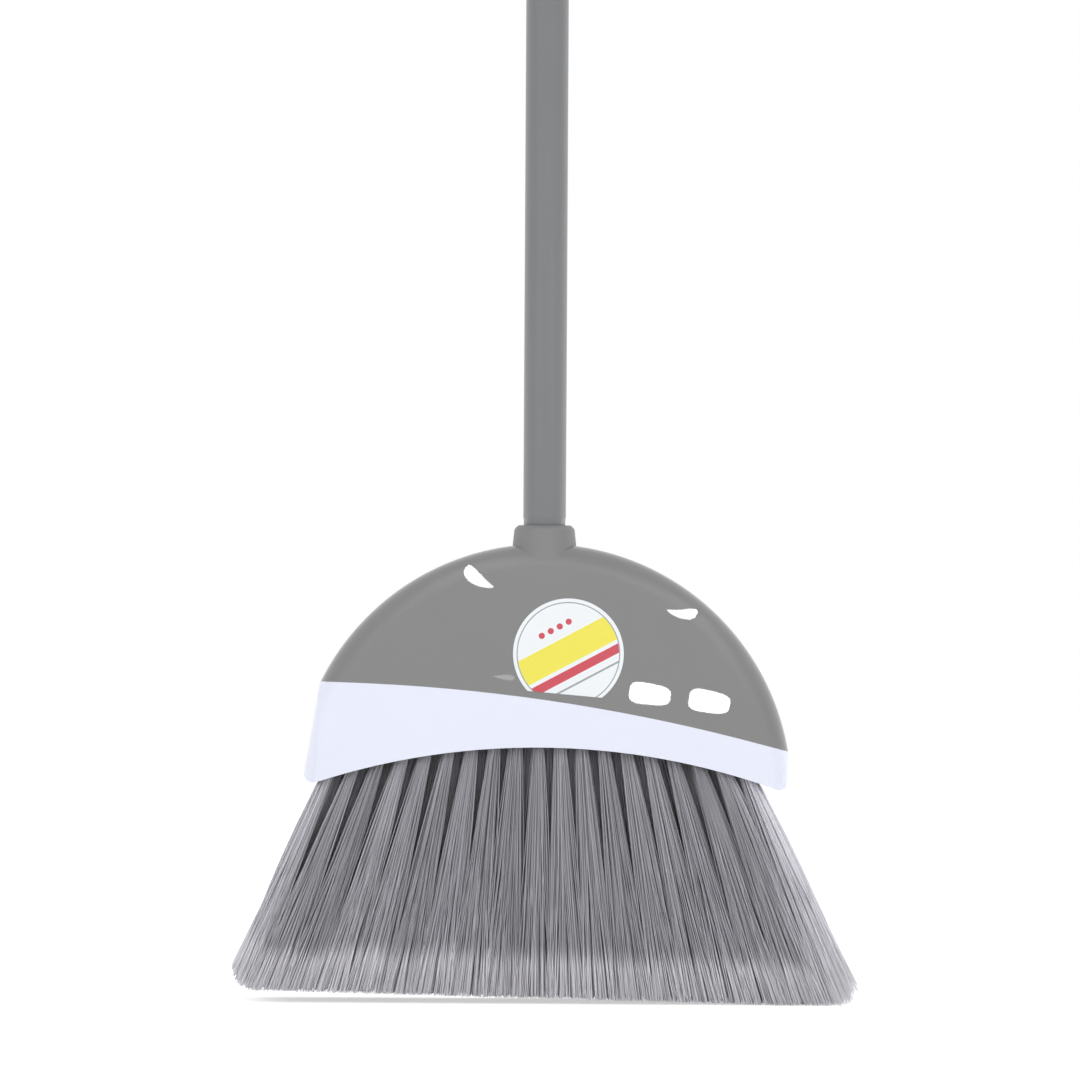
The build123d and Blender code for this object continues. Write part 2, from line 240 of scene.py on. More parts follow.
class BroomBristles(bpy.types.PropertyGroup):
    """Make and colours of the bristle tufts"""

    filaments: IntProperty(name="Filaments", description="Filaments in one tuft", default=150, min=1)
    width: length_prop("Filament width", "Thickness of one filament", 0.00048)
    root_reach: length_prop("Root reach", "Radius of a tuft where it leaves the block", 0.0027)
    tip_reach: length_prop("Tip reach", "Radius of a tuft at the floor, sideways", 0.0125)
    tip_depth: length_prop("Tip depth", "Radius of a tuft at the floor, front to back", 0.0095)
    bow: length_prop("Bow", "How far a filament bows off a straight line", 0.0022)
    flare: FloatProperty(name="Flare", description="How late a tuft spreads, where 1 is evenly", default=1.28)
    ragged: length_prop("Ragged", "How unevenly the tips are trimmed", 0.0035)
    flag: length_prop("Flagged tips", "Length of the split, paler tips", 0.0243)
    seed: IntProperty(name="Seed", description="Seed of the filaments' scatter", default=7)
    dark: colour_prop("Dark filaments", "Colour of the darkest filaments", 159, 158, 163)
    pale: colour_prop("Pale filaments", "Colour of the palest filaments", 197, 196, 203)
    # Painted highlight: the paler colour that the outermost filaments are mixed towards in place of side
    # light
    outer_painted_highlight: colour_prop("Outer filaments", "Colour of the outermost filaments", 236, 234, 241)
    tips: colour_prop("Tips", "Colour of the flagged tips", 232, 231, 236)


class BroomStage(bpy.types.PropertyGroup):
    """Camera, floor and light of the studio"""

    camera_distance: length_prop("Camera distance", "From the middle of the broom to the camera", 5.0)
    frame_width: length_prop("Frame width", "Width that the picture shows at the head's front", 0.553)
    frame_x: length_prop("Frame middle, sideways", "Where the picture's middle lies", -0.0023)
    frame_z: length_prop("Frame middle, height", "Where the picture's middle lies", 0.2374)
    roll: FloatProperty(
        name="Camera roll",
        description="Turn of the camera about its own axis",
        default=math.radians(-0.33),
        subtype="ANGLE",
    )
    sky: FloatProperty(name="Sky", description="Strength of the even light from all round", default=0.62)
    key: FloatProperty(name="Key lamp", description="Power of the large lamp at the left", default=26.0)
    fill: FloatProperty(name="Fill lamp", description="Power of the large lamp at the right", default=20.0)
    back: FloatProperty(
        name="Back lamp",
        description="Power of the large lamp behind at the right, twice that at the left",
        default=32.0,
    )
    glint: FloatProperty(name="Glints", description="Strength of the small reflected cards", default=22.0)


class Output:
    """Output of a node; a sum written with it becomes a math node of the same tree."""

    def __init__(self, socket):
        self.socket = socket
        self.tree = socket.id_data

    def __add__(self, other):
        return calc("ADD", self, other)

    def __sub__(self, other):
        return calc("SUBTRACT", self, other)

    def __rsub__(self, other):
        return calc("SUBTRACT", other, self)

    def __mul__(self, other):
        return calc("MULTIPLY", self, other)

    def __truediv__(self, other):
        return calc("DIVIDE", self, other)

    def __pow__(self, other):
        return calc("POWER", self, other)


def fill_node(node, sockets):
    """Set a node's inputs by name; a value that is another node's output is linked."""
    for key, value in sockets.items():
        socket = node.inputs[key]
        if isinstance(value, Output):
            node.id_data.links.new(value.socket, socket)
        else:
            socket.default_value = value


def add_node(tree, kind, sockets=None, **settings):
    """New node of a tree with its settings and inputs."""
    node = tree.nodes.new(kind)
    for key, value in settings.items():
        setattr(node, key, value)
    fill_node(node, sockets or {})
    return node


def new_output(tree, kind, sockets=None, key=0, **settings):
    """One output of a new node."""
    return Output(add_node(tree, kind, sockets, **settings).outputs[key])


def tree_of(values):
    """Tree of the first value that is a node's output."""
    return next(value.tree for value in values if isinstance(value, Output))


def calc(operation, *values):
    """Output of a math node."""
    return new_output(tree_of(values), "ShaderNodeMath", dict(enumerate(values)), operation=operation)


def above_zero(value):
    """A number, or zero where it is negative."""
    return calc("MAXIMUM", value, 0.0)


def combine(*parts):
    """Vector from three numbers."""
    return new_output(tree_of(parts), "ShaderNodeCombineXYZ", dict(enumerate(parts)))


def separate(vector):
    """The three numbers of a vector."""
    node = add_node(vector.tree, "ShaderNodeSeparateXYZ", {0: vector})
    return [Output(socket) for socket in node.outputs]


def scaled(vector, scale):
    """Vector made longer or shorter by a number."""
    return new_output(vector.tree, "ShaderNodeVectorMath", {0: vector, "Scale": scale}, operation="SCALE")


def moved(vector, shift):
    """Sum of two vectors."""
    return new_output(vector.tree, "ShaderNodeVectorMath", {0: vector, 1: shift}, operation="ADD")


def ramp(value, low, high, to_low=0.0, to_high=1.0, kind="SMOOTHSTEP"):
    """Output of a map range node."""
    sockets = {"Value": value, 1: low, 2: high, 3: to_low, 4: to_high}
    return new_output(value.tree, "ShaderNodeMapRange", sockets, interpolation_type=kind)


def mix_colours(factor, first, second):
    """Output of a colour mix node."""
    sockets = {"Factor": factor, 6: first, 7: second}
    return new_output(factor.tree, "ShaderNodeMix", sockets, 2, data_type="RGBA")


def rgba(colour, scale=1.0):
    """Four-channel colour, lighter or darker by scale."""
    return (*[min(1.0, c * scale) for c in colour], 1.0)


def new_material(name, **surface):
    """Material with a principled surface whose even values are set on its own sockets."""
    material = bpy.data.materials.new(name)
    material.use_nodes = True
    shader = material.node_tree.nodes["Principled BSDF"]
    for key, value in surface.items():
        shader.inputs[key.replace("_", " ").title().replace("Ior", "IOR")].default_value = value
    return material, material.node_tree, shader


def grain(tree, scale, stretch=(1, 1, 1), detail=3.0):
    """Noise on the object's own coordinates, stretched along its axes."""
    place = new_output(tree, "ShaderNodeTexCoord", key="Object")
    mapped = new_output(tree, "ShaderNodeMapping", {"Vector": place, "Scale": stretch})
    return new_output(tree, "ShaderNodeTexNoise", {"Vector": mapped, "Scale": scale, "Detail": detail}, "Fac")


def rough_by(pattern, low, high):
    """Roughness that follows a grain between two values."""
    return ramp(pattern, *GRAIN_MIDDLE, low, high)


def bumped(shader, height, distance):
    """Give a surface a fine relief."""
    relief = new_output(height.tree, "ShaderNodeBump", {"Height": height, "Distance": distance})
    fill_node(shader, {"Normal": relief})


def moulded_plastic(name, colour, rough, coat, grain_scale=900.0, relief=0.00003, drift=0.04):
    """Moulded plastic: a slow drift of colour, a fine grain in gloss and relief, and a clear skin."""
    material, tree, shader = new_material(name, coat_weight=coat, coat_roughness=0.005, coat_ior=1.5)
    slow = grain(tree, scale=22.0)
    fine = grain(tree, grain_scale)
    tint = mix_colours(slow, rgba(colour, 1 - drift), rgba(colour, 1 + drift))
    fill_node(shader, {"Base Color": tint, "Roughness": rough_by(fine, rough - 0.05, rough + 0.07)})
    bumped(shader, fine, relief)
    return material


def coated_tube(name, colour):
    """Painted steel tube: a satin coat with faint lengthwise draw lines."""
    material, tree, shader = new_material(name, coat_weight=0.35, coat_roughness=0.12, coat_ior=1.5)
    lines = grain(tree, scale=1.0, stretch=(1400, 1400, 9), detail=2.0)
    slow = grain(tree, scale=14.0)
    tint = mix_colours(lines * 0.35 + slow * 0.65, rgba(colour, 0.94), rgba(colour, 1.06))
    fill_node(shader, {"Base Color": tint, "Roughness": rough_by(lines, 0.33, 0.43)})
    bumped(shader, lines, 0.00002)
    return material


def staple_metal(name, colour):
    """Bright drawn wire with a slightly uneven polish."""
    material, tree, shader = new_material(name, metallic=1.0)
    fine = grain(tree, scale=1500.0)
    tint = mix_colours(fine, rgba(colour, 0.85), rgba(colour))
    fill_node(shader, {"Base Color": tint, "Roughness": rough_by(fine, 0.25, 0.4)})
    return material


def bristle_fibre(name, settings):
    """Drawn plastic filaments: each its own shade, with paler split tips and a painted highlight on the
    outermost ones.
    """
    material, tree, shader = new_material(name, specular_ior_level=0.35)
    shade, from_tip, painted_highlight = (
        new_output(tree, "ShaderNodeAttribute", key="Fac", attribute_name=attribute)
        for attribute in ("shade", "from_tip", "painted_highlight")
    )
    fibre = mix_colours(shade, rgba(settings.dark), rgba(settings.pale))
    # Painted highlight: the outermost tufts at both ends are mixed towards a paler colour in place of side
    # light
    fibre = mix_colours(painted_highlight, fibre, rgba(settings.outer_painted_highlight))
    split = shade * FLAG_VARIES + (settings.flag - FLAG_VARIES / 2)
    flagged = ramp(from_tip / split, *FLAG_FADE, 1.0, 0.0)
    worn = mix_colours(shade, rgba(settings.tips, 0.9), rgba(settings.tips, 1.06))
    streak = grain(tree, scale=1.0, stretch=(900, 900, 60), detail=2.0)
    tint = mix_colours(flagged, fibre, worn)
    fill_node(shader, {"Base Color": tint, "Roughness": rough_by(streak, 0.42, 0.6)})
    return material


def printed_film(name, settings):
    """White label film with a plain print: slanted stripes, a row of dots and a thin ring."""
    material, tree, shader = new_material(name, coat_weight=0.6, coat_roughness=0.06, coat_ior=1.5)
    edge = (label_high.x - label_low.x) / 2
    middle = Vector(((label_low.x + label_high.x) / 2, 0, label_high.z - edge))
    place = new_output(tree, "ShaderNodeTexCoord", key="Object")
    centred = new_output(tree, "ShaderNodeMapping", {"Vector": place, "Location": -middle})
    turned = new_output(tree, "ShaderNodeMapping", {"Vector": centred, "Rotation": (0, PRINT_TURN, 0)})
    across, _, up = separate(turned)

    def between(value, low, high):
        """Mask that is one between two levels."""
        return calc("GREATER_THAN", value, low) * calc("LESS_THAN", value, high)

    def reach(run, lift):
        """Distance from two runs at right angles."""
        return calc("SQRT", run**2 + lift**2)

    from_dot = reach(calc("PINGPONG", across, DOT_PITCH / 2) - DOT_PITCH / 4, up - DOT_HEIGHT)
    dots = calc("LESS_THAN", from_dot, DOT_RADIUS) * between(across, -DOT_PITCH, DOT_PITCH)
    from_middle = reach(across, up)
    ring, ring_end = (edge - inset for inset in RING_INSETS)
    prints = (
        (between(up, *BROAD_STRIPE), settings.sweep),
        (between(up, *NARROW_STRIPE), settings.line),
        (dots, settings.line),
        (between(up, *THIN_LINE), settings.shade),
        (calc("GREATER_THAN", from_middle, ring), settings.ground),
        (between(from_middle, ring, ring_end), settings.shade),
    )
    fine = grain(tree, scale=700.0)
    colour = mix_colours(fine, rgba(settings.ground, 0.97), rgba(settings.ground, 1.02))
    for mask, ink in prints:
        colour = mix_colours(mask, colour, rgba(ink))
    fill_node(shader, {"Base Color": colour, "Roughness": rough_by(fine, 0.28, 0.36)})
    bumped(shader, fine, 0.00001)
    return material


def add_object(name, mesh, material=None):
    """New object of a mesh at the origin, linked to the scene."""
    piece = bpy.data.objects.new(name, mesh)
    bpy.context.scene.collection.objects.link(piece)
    if material:
        mesh.materials.append(material)
    return piece


def finish_piece(piece, body, slot, *nodes):
    """A finished piece rides on its body and stands for its solids, which are hidden; its slot is not used.
    """
    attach(piece, body)
    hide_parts(*nodes)


def mesh_from(name, bm, sharp_angle):
    """Mesh of a bmesh, shaded smooth up to an edge angle."""
    mesh = bpy.data.meshes.new(name)
    bm.to_mesh(mesh)
    bm.free()
    mesh.shade_smooth()
    mesh.set_sharp_from_angle(angle=math.radians(sharp_angle))
    return mesh


def turn_profile(bm, profile, sides):
    """Add a closed ring turned about the Z axis from a loop of (radius, height) points; returns its faces."""
    loops = []
    for i in range(sides):
        cosine, sine = math.cos(2 * math.pi * i / sides), math.sin(2 * math.pi * i / sides)
        loops.append([bm.verts.new((radius * cosine, radius * sine, height)) for radius, height in profile])
    faces = []
    for i, loop in enumerate(loops):
        for j in range(len(profile)):
            faces.append(bm.faces.new((loops[i - 1][j - 1], loops[i - 1][j], loop[j], loop[j - 1])))
    bmesh.ops.recalc_face_normals(bm, faces=faces)
    return faces


def turned_mesh(name, profile, sides):
    """Closed mesh turned about the Z axis from a loop of (radius, height) points."""
    bm = bmesh.new()
    turn_profile(bm, profile, sides)
    return mesh_from(name, bm, sharp_angle=28.0)


def merged_copy(node):
    """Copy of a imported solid's mesh with its loose triangles joined."""
    bm = bmesh.new()
    bm.from_mesh(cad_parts[node].data)
    bmesh.ops.remove_doubles(bm, verts=bm.verts, dist=2 * WELD)
    return bm


def join_flats(bm, kept=()):
    """Join the triangles of each flat face, and leave the corners of the kept faces alone."""
    held = {vert for face in kept for vert in face.verts}
    verts = [vert for vert in bm.verts if vert not in held]
    edges = [edge for edge in bm.edges if not (edge.verts[0] in held and edge.verts[1] in held)]
    bmesh.ops.dissolve_limit(bm, angle_limit=math.radians(0.2), verts=verts, edges=edges)


def finished_solid(bm, name, material, edge_round, weld=0.0):
    """Object of a copied solid with its edges rounded and its rounds shaded smooth."""
    piece = add_object(name, mesh_from(name, bm, sharp_angle=30.0), material)
    bevel = piece.modifiers.new("Edges", "BEVEL")
    bevel.width = edge_round
    bevel.segments = 2
    bevel.limit_method = "ANGLE"
    bevel.angle_limit = math.radians(32)
    bevel.use_clamp_overlap = True
    if weld:
        piece.modifiers.new("Weld", "WELD").merge_threshold = weld
    normals = piece.modifiers.new("Normals", "WEIGHTED_NORMAL")
    normals.keep_sharp = False
    return piece


def head_axes(side):
    """Outward and upward directions of the head's flat side, at the front (-1) or the back (1)."""
    cosine, sine = math.cos(DISC_TILT), math.sin(DISC_TILT)
    return Vector((0, side * cosine, sine)), Vector((0, -side * sine, cosine))


def head_skin(place):
    """Nearest point of the head's smooth outside, the way it faces there, and how far off the place is."""
    lean, up = head_axes(-1 if place.y < 0 else 1)
    middle = Vector((0, 0, DOME_CENTRE_Z))
    off = place - middle
    depth, rise = off.dot(lean), off.dot(up)
    far = math.hypot(off.x, rise)
    out = (Vector((off.x, 0, 0)) + up * rise) / max(far, WELD)
    flat, straight = DOME_RADIUS - RIM_RADIUS, DISC_HALF - RIM_RADIUS
    if far <= flat:
        turn, depth = 0.0, DISC_HALF
    elif depth <= straight:
        turn, far = math.pi / 2, DOME_RADIUS
    else:
        turn = math.atan2(far - flat, depth - straight)
        far, depth = flat + RIM_RADIUS * math.sin(turn), straight + RIM_RADIUS * math.cos(turn)
    near = middle + lean * depth + out * far
    facing = lean * math.cos(turn) + out * math.sin(turn)
    if abs(place.y) < SLACK:
        near.y = facing.y = 0.0
    return near, facing.normalized(), (near - place).length


def faces_flat(facing):
    """Whether a direction is that of the head's flat front or back."""
    return abs(facing.y) > math.cos(DISC_TILT) - SLACK


def flat_edge(place):
    """Nearest point of the circle where the head's flat side meets the round of its rim."""
    rise = (place.z - DOME_CENTRE_Z - DISC_HALF * math.sin(DISC_TILT)) / math.cos(DISC_TILT)
    grow = (DOME_RADIUS - RIM_RADIUS) / math.hypot(place.x, rise) - 1
    _, up = head_axes(-1 if place.y < 0 else 1)
    return place + Vector((place.x * grow, 0, 0)) + up * (rise * grow)


def rim_faces(bm):
    """Faces of a head piece that lie on the round of the rim."""
    for face in bm.faces:
        _, facing, _ = head_skin(face.calc_center_median())
        if face.normal.dot(facing) > RIM_FACING and not faces_flat(facing):
            if all(head_skin(vert.co)[2] < SKIN_GAP for vert in face.verts):
                yield face


def round_rim(bm, cuts=3):
    """Divide the rim's flats and move them out onto its round."""
    edges = list({edge for face in rim_faces(bm) for edge in face.edges})
    bmesh.ops.subdivide_edges(bm, edges=edges, cuts=cuts, use_grid_fill=True)
    bm.normal_update()
    for vert in {vert for face in rim_faces(bm) for vert in face.verts}:
        vert.co = head_skin(vert.co)[0]
        if faces_flat(head_skin(vert.co)[1]):
            vert.co = flat_edge(vert.co)
    bm.normal_update()


def head_copy(node):
    """Merged copy of a head solid, with its rim rounded and its flats joined."""
    bm = merged_copy(node)
    round_rim(bm)
    join_flats(bm, rim_faces(bm))
    return bm


def smooth_skin(piece):
    """Apply a head piece's modifiers and let its outside face exactly as the smooth form does."""
    graph = bpy.context.evaluated_depsgraph_get()
    mesh = bpy.data.meshes.new_from_object(piece.evaluated_get(graph), depsgraph=graph)
    normals = [Vector(corner.vector) for corner in mesh.corner_normals]
    for face in mesh.polygons:
        _, facing, off = head_skin(face.center)
        if face.material_index == 0 and off < SKIN_GAP and face.normal.dot(facing) > SKIN_FACING:
            for loop in face.loop_indices:
                _, facing, off = head_skin(mesh.vertices[mesh.loops[loop].vertex_index].co)
                if off < SKIN_CLOSE and normals[loop].dot(facing) > SKIN_FACING:
                    normals[loop] = facing
    piece.modifiers.clear()
    piece.data = mesh
    mesh.normals_split_custom_set(normals)


def on_collar(place):
    """Whether a place lies on the outside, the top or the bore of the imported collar."""
    radius = math.hypot(place.x, place.y)
    share = (place.z - COLLAR_FOOT[1]) / (COLLAR_EDGE[1] - COLLAR_FOOT[1])
    slope = COLLAR_FOOT[0] + (COLLAR_EDGE[0] - COLLAR_FOOT[0]) * share
    outside = place.z > COLLAR_FOOT[1] - SLACK and abs(radius - slope) < COLLAR_GAP
    top = place.z > COLLAR_EDGE[1] - SLACK
    bore = place.z > COLLAR_SEAT_Z - SLACK and abs(radius - COLLAR_BORE) < SKIN_CLOSE
    return outside or top or bore


def in_crown_hole(verts):
    """Whether all of some vertices lie over the hole in the crown."""
    return all(math.hypot(*vert.co.xy) < CROWN_HOLE for vert in verts)


def lay_crown(bm, columns=26, rows=18, steps=8):
    """Lay the smooth crown of the rim round the collar's bore; returns its faces."""
    flat, straight = DOME_RADIUS - RIM_RADIUS, DISC_HALF - RIM_RADIUS
    turns = [math.pi / 2 * i / rows for i in range(rows + 1)]
    section = [(flat + RIM_RADIUS * math.sin(turn), straight + RIM_RADIUS * math.cos(turn)) for turn in turns]
    middle = Vector((0, 0, DOME_CENTRE_Z))
    crown = []
    for side in (-1, 1):
        lean, up = head_axes(side)
        lines = []
        for i in range(columns + 1):
            x = CROWN_HALF * (2 * i / columns - 1)
            ridge = math.sqrt(DOME_RADIUS**2 - x**2) * math.tan(DISC_TILT)
            inward = [straight + (ridge - straight) * step / steps for step in range(1, steps + 1)]
            line = []
            for far, depth in [*section, *((DOME_RADIUS, depth) for depth in inward)]:
                place = middle + lean * depth + up * math.sqrt(far**2 - x**2)
                line.append(bm.verts.new((x, place.y, place.z)))
            lines.append(line)
        for left, right in zip(lines, lines[1:]):
            for i in range(len(left) - 1):
                corners = (left[i], right[i], right[i + 1], left[i + 1])
                if not in_crown_hole(corners):
                    crown.append(bm.faces.new(corners if side < 0 else corners[::-1]))
    verts = list(dict.fromkeys(vert for face in crown for vert in face.verts))
    bmesh.ops.remove_doubles(bm, verts=verts, dist=WELD)
    bmesh.ops.delete(bm, geom=[vert for vert in bm.verts if not vert.link_faces], context="VERTS")
    return crown


def join_seam(bm, patch, hole):
    """Join a patch to the hole that it fills, where their open edges follow one line with other vertices."""
    for edges, others in ((patch, hole), (hole, patch)):
        for vert in dict.fromkeys(vert for edge in edges for vert in edge.verts):
            found = []
            for edge in others:
                start, end = (corner.co for corner in edge.verts)
                share = min(max(intersect_point_line(vert.co, start, end)[1], 0.0), 1.0)
                found.append(((vert.co - start.lerp(end, share)).length, share, edge))
            _, share, edge = min(found, key=lambda entry: entry[0])
            if SEAM_GAP < share * edge.calc_length() < edge.calc_length() - SEAM_GAP:
                half, point = bmesh.utils.edge_split(edge, edge.verts[0], share)
                point.co = vert.co
                others.append(half)

    # The nearest vertices join first
    for reach in (0.001, 0.5, 1.5):
        seam = [edge for edge in bm.edges if edge.is_boundary]
        verts = list(dict.fromkeys(vert for edge in seam for vert in edge.verts))
        bmesh.ops.remove_doubles(bm, verts=verts, dist=reach * SEAM_GAP)


def collar_profile():
    """Loop of (radius, height) points round the collar's wall, with its edges and its mouth softened."""
    run, cut, sag = COLLAR_SOFT
    edge, edge_z = COLLAR_EDGE
    top = edge - (COLLAR_TOP_Z - edge_z)
    drops = [math.pi / 6 * i for i in range(4)]
    mouth = [(1 - math.sin(drop), 1 - math.cos(drop)) for drop in drops]
    return [
        COLLAR_FOOT,
        (edge + sag, edge_z - run),
        (edge - sag, edge_z - sag),
        (edge - cut, edge_z + cut),
        (top + cut, COLLAR_TOP_Z - cut),
        (top - sag, COLLAR_TOP_Z - sag),
        (top - run, COLLAR_TOP_Z),
        *((COLLAR_BORE + MOUTH_ROUND * out, COLLAR_TOP_Z - MOUTH_ROUND * down) for out, down in mouth),
        (COLLAR_BORE, COLLAR_SEAT_Z),
        (edge, COLLAR_SEAT_Z + COLLAR_WALL),
        (COLLAR_FOOT[0] - COLLAR_WALL, COLLAR_FOOT[1]),
    ]


def turn_collar(bm, sides=96):
    """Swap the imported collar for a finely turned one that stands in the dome; returns its faces."""
    for x in (-CROWN_HALF, CROWN_HALF):
        rim = list(rim_faces(bm))
        parts = {part for face in rim for part in (*face.edges, *face.verts)}
        bmesh.ops.bisect_plane(bm, geom=[*rim, *parts], dist=1e-7, plane_co=(x, 0, 0), plane_no=(1, 0, 0))
    old = []
    for face in bm.faces:
        middle = face.calc_center_median()
        seat = abs(face.normal.z) > LEVEL_FACING and middle.z < COLLAR_EDGE[1]
        under = middle.z > COLLAR_FOOT[1] and abs(middle.x) < CROWN_HALF
        crown = under and head_skin(middle)[2] < CROWN_GAP
        if crown or not seat and all(on_collar(vert.co) for vert in face.verts):
            old.append(face)
    bmesh.ops.delete(bm, geom=old, context="FACES")
    crown = set(lay_crown(bm))
    edges = [edge for edge in bm.edges if edge.is_boundary]
    inner = [edge for edge in edges if in_crown_hole(edge.verts)]
    outer = [edge for edge in edges if edge not in inner]
    patch = [edge for edge in outer if edge.link_faces[0] in crown]
    hole = [edge for edge in outer if edge not in patch]
    bmesh.ops.bridge_loops(bm, edges=inner)
    join_seam(bm, patch, hole)
    return turn_profile(bm, collar_profile(), sides)


def modifier_inputs(modifier, values):
    """Set a Geometry Nodes modifier's inputs through their sockets' identifiers."""
    for item in modifier.node_group.interface.items_tree:
        if item.item_type == "SOCKET" and item.in_out == "INPUT" and item.name in values:
            modifier[item.identifier] = values[item.name]


def grown_mesh(base, tree, values):
    """Plain mesh that a Geometry Nodes tree grows from an object, which is then removed."""
    modifier = base.modifiers.new(tree.name, "NODES")
    modifier.node_group = tree
    modifier_inputs(modifier, values)
    bpy.context.view_layer.update()
    graph = bpy.context.evaluated_depsgraph_get()
    mesh = bpy.data.meshes.new_from_object(base.evaluated_get(graph), depsgraph=graph)
    base.modifiers.remove(modifier)
    bpy.data.objects.remove(base)
    return mesh


def new_tree(name, inputs):
    """Geometry Nodes tree with named inputs; returns it with the outputs that hand those in."""
    tree = bpy.data.node_groups.new(name, "GeometryNodeTree")
    for label, kind in {"Geometry": "Geometry", **inputs}.items():
        tree.interface.new_socket(label, in_out="INPUT", socket_type=f"NodeSocket{kind}")
    tree.interface.new_socket("Geometry", in_out="OUTPUT", socket_type="NodeSocketGeometry")
    given = tree.nodes.new("NodeGroupInput").outputs
    return tree, {label: Output(given[label]) for label in ("Geometry", *inputs)}


def end_tree(geometry, material):
    """Realize a tree's geometry, give it its material and hand it out; returns the tree."""
    tree = geometry.tree
    whole = new_output(tree, "GeometryNodeRealizeInstances", {"Geometry": geometry})
    dressed = new_output(tree, "GeometryNodeSetMaterial", {"Geometry": whole, "Material": material})
    add_node(tree, "NodeGroupOutput", {"Geometry": dressed})
    return tree


def random_value(low, high, seed, salt):
    """Random number for each element, from the shared seed and its own salt."""
    sockets = {2: low, 3: high, "Seed": seed + salt}
    return new_output(seed.tree, "FunctionNodeRandomValue", sockets, 1, data_type="FLOAT")


def store(geometry, name, value, kind="FLOAT"):
    """Geometry with a named attribute stored on its points."""
    sockets = {"Geometry": geometry, "Name": name, "Value": value}
    return new_output(geometry.tree, "GeometryNodeStoreNamedAttribute", sockets, data_type=kind)


def read(tree, name, kind="FLOAT"):
    """A named attribute's values."""
    return new_output(tree, "GeometryNodeInputNamedAttribute", {"Name": name}, data_type=kind)


def plan_filaments(points, given):
    """Points, one for each filament, with its root, tip, bow, spread, flare, shade and painted highlight
    stored on them.
    """
    tree, seed = points.tree, given["Seed"]

    # Each filament keeps its own place in the tuft's round, from root to tip
    far = calc("SQRT", random_value(0.0, 1.0, seed, salt=1))
    turn = random_value(0.0, 2 * math.pi, seed, salt=2)
    side = far * calc("COSINE", turn)
    front = far * calc("SINE", turn)
    place = new_output(tree, "GeometryNodeInputPosition")
    root = moved(place, scaled(combine(side, front, 0.0), given["Root Reach"]))

    # Where it would meet the floor sideways, drawn in past the limits and leaning out at the right
    slope_x, slope_y, _ = separate(read(tree, "slope", "FLOAT_VECTOR"))
    x, y, z = separate(place)
    reach_x = side * given["Tip Reach"]
    floor_x = slope_x * z + x + reach_x
    over_left = above_zero(SIDE_LIMITS[0] - floor_x)
    over_right = above_zero(floor_x - SIDE_LIMITS[1])
    shift = (over_left - over_right) * SIDE_HOLD + ramp(floor_x, *LEAN_RUN, 0.0, LEAN_REACH)
    reach_x = reach_x + shift
    floor_x = floor_x + shift

    # The tips end on the trim: level at the right, rising to the left, with both corners taken off
    rise = above_zero((TRIM_LEVEL_X - floor_x) * TRIM_RISE)
    left = above_zero(TRIM_CORNERS[0] - floor_x)
    right = above_zero(floor_x - TRIM_CORNERS[1])
    corner = left**2 * TRIM_CURVES[0] + right**2 * TRIM_CURVES[1]
    uneven = random_value(0.0, 1.0, seed, salt=3) ** 3 * given["Ragged"]
    tip_z = rise + corner + uneven
    drop = z - tip_z
    share = drop / z
    spread_x = reach_x * share
    spread_y = front * given["Tip Depth"] * share
    tip_x = spread_x + (slope_x * drop + x)
    tip_y = spread_y + (slope_y * drop + y)
    over_depth = above_zero(calc("ABSOLUTE", tip_y) - DEPTH_LIMIT)
    tip_y = tip_y - over_depth * DEPTH_HOLD * calc("SIGN", tip_y)

    bow_turn = random_value(0.0, 2 * math.pi, seed, salt=4)
    bow = random_value(-1.0, 1.0, seed, salt=5) * given["Bow"]
    vectors = {
        "root": root,
        "tip": combine(tip_x, tip_y, tip_z),
        "bow": combine(bow * calc("COSINE", bow_turn), bow * calc("SINE", bow_turn), 0.0),
        "spread": combine(spread_x, spread_y, 0.0),
    }
    numbers = {
        "flare": given["Flare"] * ramp(floor_x, *EARLY_RUN, 1.0, EARLY_SHARE),
        "shade": random_value(0.0, 1.0, seed, salt=6) * (1 - TUFT_SHADE) + read(tree, "tuft_shade"),
        # Painted highlight: lightens the outermost tufts, fully at the right end and half as much at the left
        "painted_highlight": ramp(floor_x, *PAINTED_HIGHLIGHT_RIGHT) + ramp(floor_x * -1.0, *PAINTED_HIGHLIGHT_LEFT, 0.0, PAINTED_HIGHLIGHT_LEFT_SHARE),
    }
    for name, value in vectors.items():
        points = store(points, name, value, "FLOAT_VECTOR")
    for name, value in numbers.items():
        points = store(points, name, value)
    return points


def bend_filaments(points):
    """Line of each planned filament, bent into place, with its distance from the tip stored along it."""
    tree = points.tree
    line = new_output(tree, "GeometryNodeCurvePrimitiveLine", {"Start": (0, 0, 0), "End": (0, 0, -0.1)})
    line = new_output(tree, "GeometryNodeResampleCurve", {"Curve": line, "Count": 7})
    copies = new_output(tree, "GeometryNodeInstanceOnPoints", {"Points": points, "Instance": line})
    lines = new_output(tree, "GeometryNodeRealizeInstances", {"Geometry": copies})
    along = new_output(tree, "GeometryNodeSplineParameter", key="Factor")
    root, tip, bow, spread = (read(tree, name, "FLOAT_VECTOR") for name in ("root", "tip", "bow", "spread"))
    straight = new_output(tree, "ShaderNodeMix", {"Factor": along, 4: root, 5: tip}, 1, data_type="VECTOR")
    bent = scaled(bow, calc("SINE", along * (math.pi * BOW_WAVE)))
    flared = scaled(spread, along ** read(tree, "flare") - along)
    where = moved(moved(straight, bent), flared)
    lines = new_output(tree, "GeometryNodeSetPosition", {"Geometry": lines, "Position": where})
    length = new_output(tree, "ShaderNodeVectorMath", {0: root, 1: tip}, "Value", operation="DISTANCE")
    return store(lines, "from_tip", (1.0 - along) * length)


